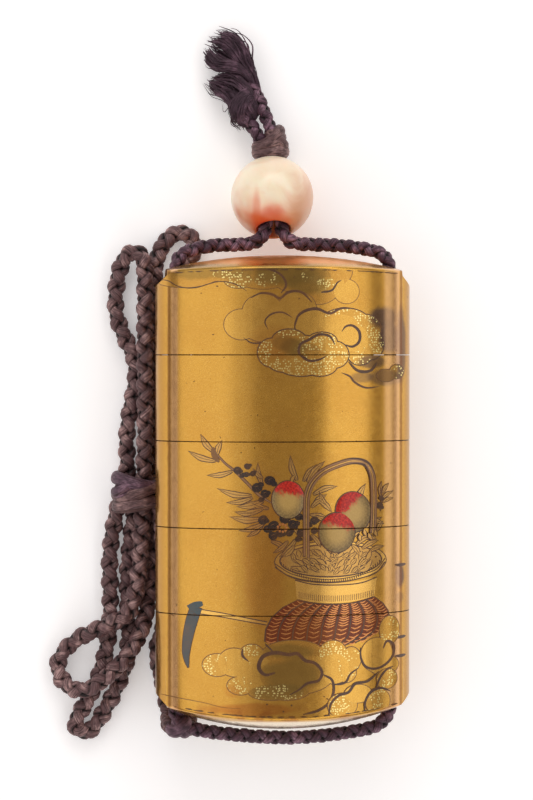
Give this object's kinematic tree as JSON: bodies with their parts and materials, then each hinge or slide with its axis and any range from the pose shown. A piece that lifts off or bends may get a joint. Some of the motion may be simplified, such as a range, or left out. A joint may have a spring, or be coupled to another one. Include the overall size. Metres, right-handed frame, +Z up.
{
  "type": "inro case",
  "caption": "Stacked gold lacquer case with a crowned lid, lying on its back, with its silk cord, coral bead, tied slack and frayed ends.",
  "frame": {"origin": "centre of the flat spot on the back of the case, on the surface it lies on", "axes": "+Y from the foot of the case towards its lid and the bead, +Z up through its decorated face, +X across to the right"},
  "size_m": [0.0667, 0.1341, 0.024],
  "materials": {
    "gold_lacquer": "satin polished gold lacquer over wood, with a maki-e picture",
    "coral": "polished pale coral with an orange patch",
    "silk_cord": "brown-purple silk, round braid of four strands"
  },
  "bodies": {
    "root": {"lid": "gold_lacquer", "case_1": "gold_lacquer", "case_2": "gold_lacquer", "case_3": "gold_lacquer", "case_4": "gold_lacquer", "bead": "coral", "cord_left": "silk_cord", "cord_right": "silk_cord", "cord_top_lead": "silk_cord", "cord_upper_loop": "silk_cord", "cord_ring": "silk_cord", "cord_lower_loop": "silk_cord", "cord_side_lead": "silk_cord", "knot_top": "silk_cord", "knot_side": "silk_cord", "tie": "silk_cord", "frayed_end_upper": "silk_cord", "frayed_end_lower": "silk_cord"}
  },
  "joints": []
}
